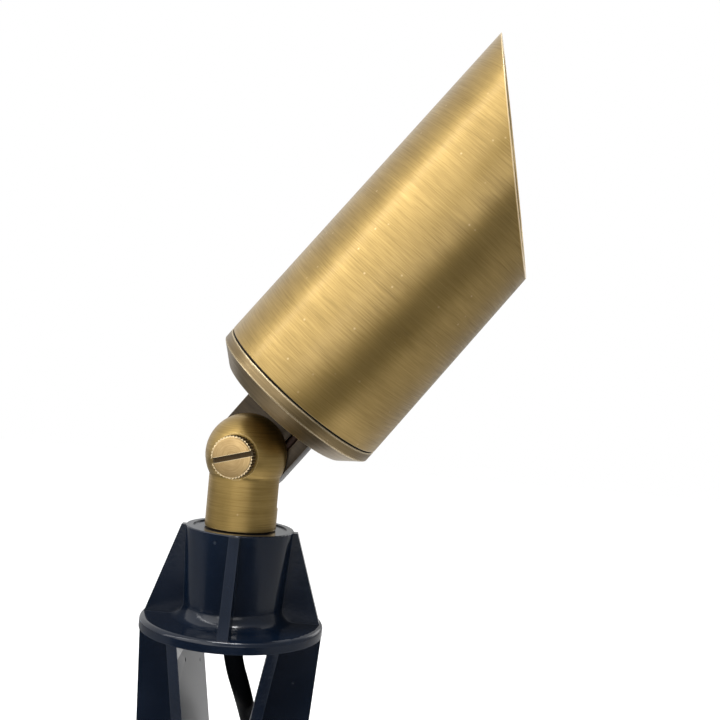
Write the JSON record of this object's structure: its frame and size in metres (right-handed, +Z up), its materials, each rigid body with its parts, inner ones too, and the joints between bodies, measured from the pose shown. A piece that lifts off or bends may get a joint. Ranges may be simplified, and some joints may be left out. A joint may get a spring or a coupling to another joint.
{
  "type": "garden spike spotlight",
  "caption": "Garden spike spotlight: a brass lamp head with a slant-cut cowl tilts on a thumbscrew knuckle above a black plastic ground spike, with its supply lead",
  "frame": {"origin": "on the spike's axis, at the underside of the flange that rests on the ground", "axes": "+Z up along the spike, +X through one leg of the spike, -Y through the front gusset, towards the thumbscrew side"},
  "size_m": [0.1238, 0.1237, 0.453],
  "materials": {
    "spike_plastic": "moulded, glossy black",
    "body_brass": "antique brass, brushed round the axis",
    "screw_brass": "turned, raw brass",
    "steel": "zinc plated",
    "black_rubber": "matt",
    "lead_sheath": "matt black sheath",
    "core_insulation": "silicone insulation",
    "copper": "bare tinned copper strands",
    "ceramic": "unglazed",
    "clear_glass": "clear",
    "mirror_coat": "faceted reflector",
    "fibre_washer": "vulcanised fibre"
  },
  "bodies": {
    "stake": {"ground_spike": "spike_plastic", "lead_grommet": "black_rubber", "supply_lead": "lead_sheath", "lead_hank": "lead_sheath", "hank_tie": "black_rubber", "tail_cores": "core_insulation", "bared_strands": "copper"},
    "knuckle": {"knuckle_post": "body_brass", "friction_washer": "fibre_washer", "lead_in_post": "lead_sheath", "post_cores": "core_insulation"},
    "thumbscrew": {"thumbscrew": "screw_brass"},
    "head": {"knuckle_tongue": "body_brass", "tongue_screws": "steel", "rear_cap": "body_brass", "cap_bush": "black_rubber", "seam_gasket": "black_rubber", "holder_bracket": "steel", "bracket_screws": "steel", "lamp_holder": "ceramic", "holder_screws": "steel", "lamp_reflector": "mirror_coat", "lamp_front_glass": "clear_glass", "lamp_capsule": "clear_glass", "lamp_pins": "steel", "head_cores": "core_insulation"},
    "cowl": {"cowl": "body_brass", "lens_gasket": "black_rubber", "lens": "clear_glass", "lens_ring": "screw_brass"}
  },
  "joints": [
    {"name": "knuckle_swivel", "type": "hinge", "parent": "stake", "child": "knuckle", "pos_m": [0, 0, 0.03], "axis": [0, 0, 1], "range_deg": [-180, 180]},
    {"name": "head_tilt", "type": "hinge", "parent": "knuckle", "child": "head", "pos_m": [0, 0, 0.0614], "axis": [0.2147, 0.9767, 0], "range_deg": [-37.3, 52.7]},
    {"name": "thumbscrew_turn", "type": "hinge", "parent": "knuckle", "child": "thumbscrew", "pos_m": [0, 0, 0.0614], "axis": [0.2147, 0.9767, 0], "range_deg": [-360, 0]},
    {"name": "cowl_turn", "type": "hinge", "parent": "head", "child": "cowl", "pos_m": [0, 0, 0.0614], "axis": [0.5919, -0.1301, 0.7955], "range_deg": [-180, 180]}
  ]
}
